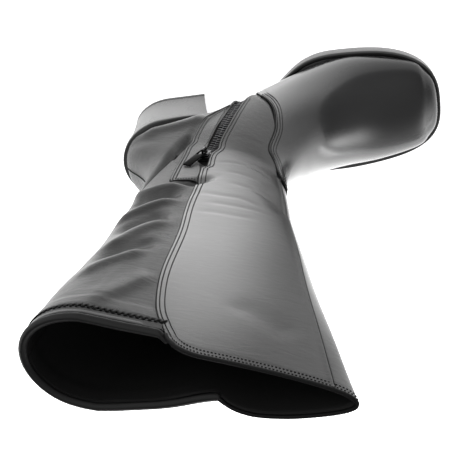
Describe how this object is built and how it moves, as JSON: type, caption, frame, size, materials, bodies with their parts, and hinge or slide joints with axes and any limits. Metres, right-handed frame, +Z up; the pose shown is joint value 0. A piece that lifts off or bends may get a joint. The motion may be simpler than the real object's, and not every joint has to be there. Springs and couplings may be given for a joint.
{
  "type": "heeled boot",
  "caption": "Knee-high black leather boot for the right foot, with a slack shaft, square toe, thick outsole, tapered block heel and a short zip on the inner ankle.",
  "frame": {"origin": "centre of the heel's base, on the floor", "axes": "+X to the toe, +Y to the inner side of the foot, +Z up"},
  "size_m": [0.2785, 0.0969, 0.4343],
  "materials": {
    "outsole": "smooth black rubber, satin edge",
    "heel": "smooth lacquered black",
    "top_piece": "matt black rubber",
    "insole": "matt black lining leather",
    "upper": "fine-grained black leather, semi-gloss",
    "binding": "soft folded black leather",
    "zip_tape": "black woven tape with coil teeth",
    "zip_metal": "dark polished metal"
  },
  "bodies": {
    "boot": {"outsole": "outsole", "heel": "heel", "heel_top_piece": "top_piece", "insole": "insole", "upper": "upper", "collar_binding": "binding", "zip_chain": "zip_tape", "zip_slider": "zip_metal"},
    "pull": {"zip_pull": "zip_metal"}
  },
  "joints": [
    {"name": "pull_flip", "type": "hinge", "parent": "boot", "child": "pull", "pos_m": [0.03234, 0.03127, 0.14716], "axis": [-0.7876, 0, -0.6162], "range_deg": [0, 165]}
  ]
}
